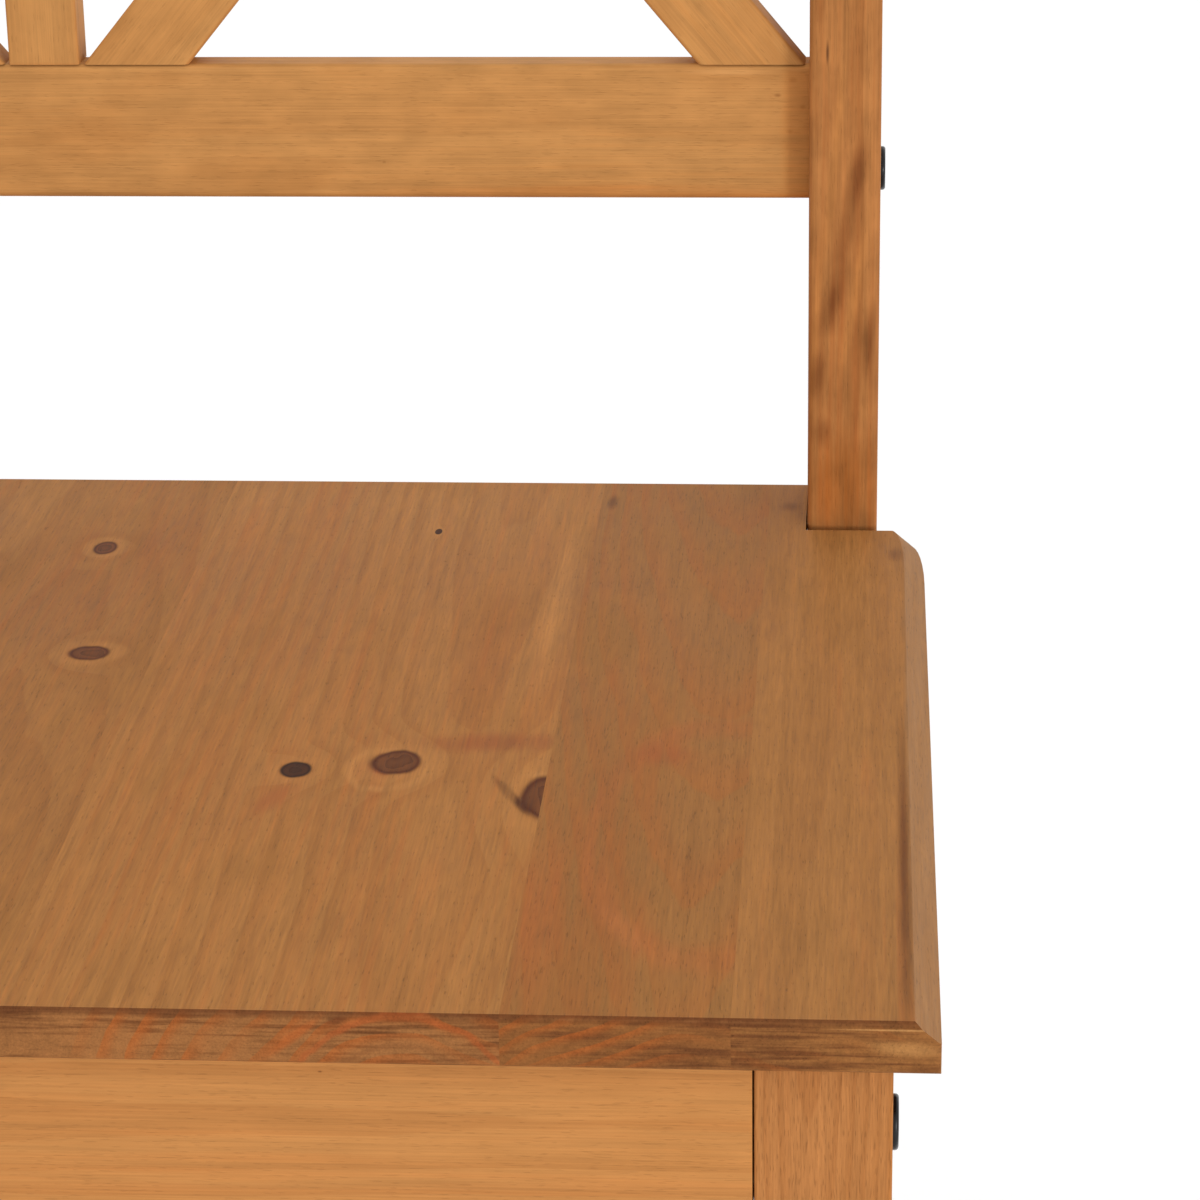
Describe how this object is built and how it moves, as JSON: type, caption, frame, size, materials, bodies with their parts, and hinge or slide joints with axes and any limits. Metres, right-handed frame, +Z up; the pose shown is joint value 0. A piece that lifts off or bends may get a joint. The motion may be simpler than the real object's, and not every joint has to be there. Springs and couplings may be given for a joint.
{
  "type": "potting bench",
  "caption": "Free-standing wooden potting bench with a worktop, a slatted lower shelf and a cross-braced back frame.",
  "frame": {"origin": "on the floor under the middle of the worktop", "axes": "+Z up, the bench faces -Y, +X to the right of someone standing in front of it"},
  "size_m": [1.09, 0.526, 1.3892],
  "materials": {
    "worktop_wood": "stained and worn satin pine",
    "frame_wood": "stained satin hardwood-look pine",
    "post_wood": "darker reddish stained satin",
    "back_frame_wood": "honey stained satin",
    "dowel_wood": "plain beech",
    "black_bolt": "black satin",
    "zinc_steel": "zinc plated",
    "glide_plastic": "moulded"
  },
  "bodies": {
    "root": {"back_rail": "back_frame_wood", "barrel_nuts": "zinc_steel", "brace_dowels": "dowel_wood", "brace_falling_1": "back_frame_wood", "brace_falling_2": "back_frame_wood", "brace_falling_3": "back_frame_wood", "brace_rising_1": "back_frame_wood", "brace_rising_2": "back_frame_wood", "brace_rising_3": "back_frame_wood", "bracket_screws": "zinc_steel", "foot_glides": "glide_plastic", "front_apron": "frame_wood", "front_connector_bolts": "black_bolt", "front_leg_left": "frame_wood", "front_leg_right": "frame_wood", "joint_dowels": "dowel_wood", "lower_front_rail": "frame_wood", "lower_rear_rail": "frame_wood", "lower_side_rail_left": "frame_wood", "lower_side_rail_right": "frame_wood", "rear_apron": "frame_wood", "rear_connector_bolts": "black_bolt", "rear_post_left": "post_wood", "rear_post_right": "post_wood", "shelf_bearer": "frame_wood", "shelf_slat_1": "frame_wood", "shelf_slat_2": "frame_wood", "shelf_slat_3": "frame_wood", "shelf_slat_4": "frame_wood", "shelf_slat_5": "frame_wood", "side_apron_left": "frame_wood", "side_apron_right": "frame_wood", "slat_screws": "zinc_steel", "stile_1": "back_frame_wood", "stile_2": "back_frame_wood", "top_rail": "back_frame_wood", "worktop_board_1": "worktop_wood", "worktop_board_10": "worktop_wood", "worktop_board_2": "worktop_wood", "worktop_board_3": "worktop_wood", "worktop_board_4": "worktop_wood", "worktop_board_5": "worktop_wood", "worktop_board_6": "worktop_wood", "worktop_board_7": "worktop_wood", "worktop_board_8": "worktop_wood", "worktop_board_9": "worktop_wood", "worktop_brackets": "zinc_steel"}
  },
  "joints": []
}
